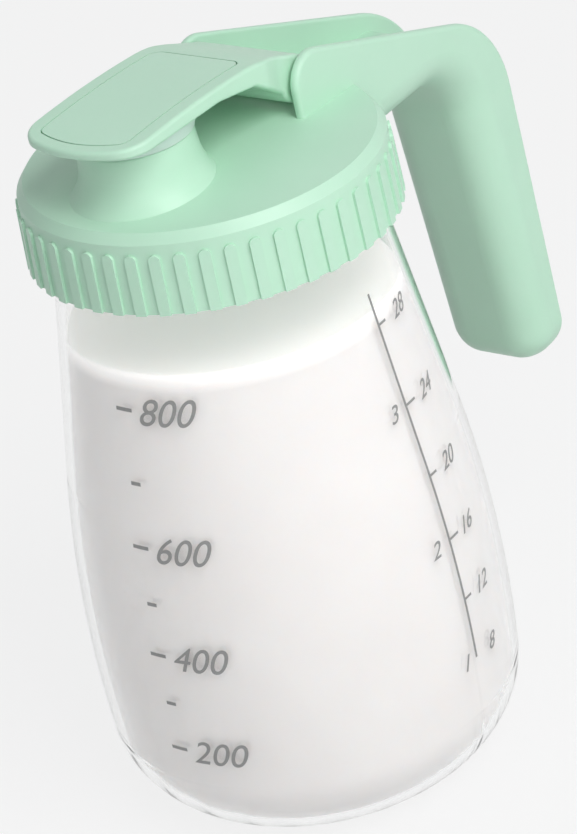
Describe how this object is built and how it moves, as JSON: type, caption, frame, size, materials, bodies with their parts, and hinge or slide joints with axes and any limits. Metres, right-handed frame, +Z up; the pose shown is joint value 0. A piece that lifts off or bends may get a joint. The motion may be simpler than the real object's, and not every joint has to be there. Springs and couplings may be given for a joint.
{
  "type": "milk storage container",
  "caption": "Clear egg-shaped milk bottle with a ribbed screw lid, a pouring spout, a flip cap and a long handle that comes down beside the bottle.",
  "frame": {"origin": "centre of the bottle's base, on the plane that it stands on", "axes": "+Z up along the bottle's axis, the spout points to -Y, the handle to +Y, and +X is the side with the measuring scale"},
  "size_m": [0.1026, 0.1564, 0.1866],
  "materials": {
    "clear_bottle": "clear moulded plastic, glossy",
    "mint_plastic": "mint green moulded plastic, satin",
    "mint_panel": "mint green moulded plastic, satin",
    "pale_silicone": "pale green silicone, slightly translucent",
    "pin_steel": "plain steel pin"
  },
  "bodies": {
    "bottle": {"bottle": "clear_bottle"},
    "seal": {"lid_seal": "pale_silicone"},
    "lid": {"lid": "mint_plastic", "hinge_pin": "pin_steel"},
    "cap": {"flip_cap": "mint_plastic", "cap_inlay": "mint_panel", "spout_plug": "pale_silicone"}
  },
  "joints": [
    {"name": "seal_lift", "type": "slide", "parent": "bottle", "child": "seal", "axis": [0, 0, 1], "range_m": [0, 0.0061]},
    {"name": "lid_turn", "type": "hinge", "parent": "seal", "child": "lid", "pos_m": [0, 0, 0.1462], "axis": [0, 0, 1], "range_deg": [0, 360]},
    {"name": "cap_hinge", "type": "hinge", "parent": "lid", "child": "cap", "pos_m": [0, 0.021, 0.1746], "axis": [-1, 0, 0], "range_deg": [0, 110]}
  ],
  "couplings": [
    {"joint": "seal_lift", "follows": "lid_turn", "m_per_rad": 0.00095493}
  ]
}
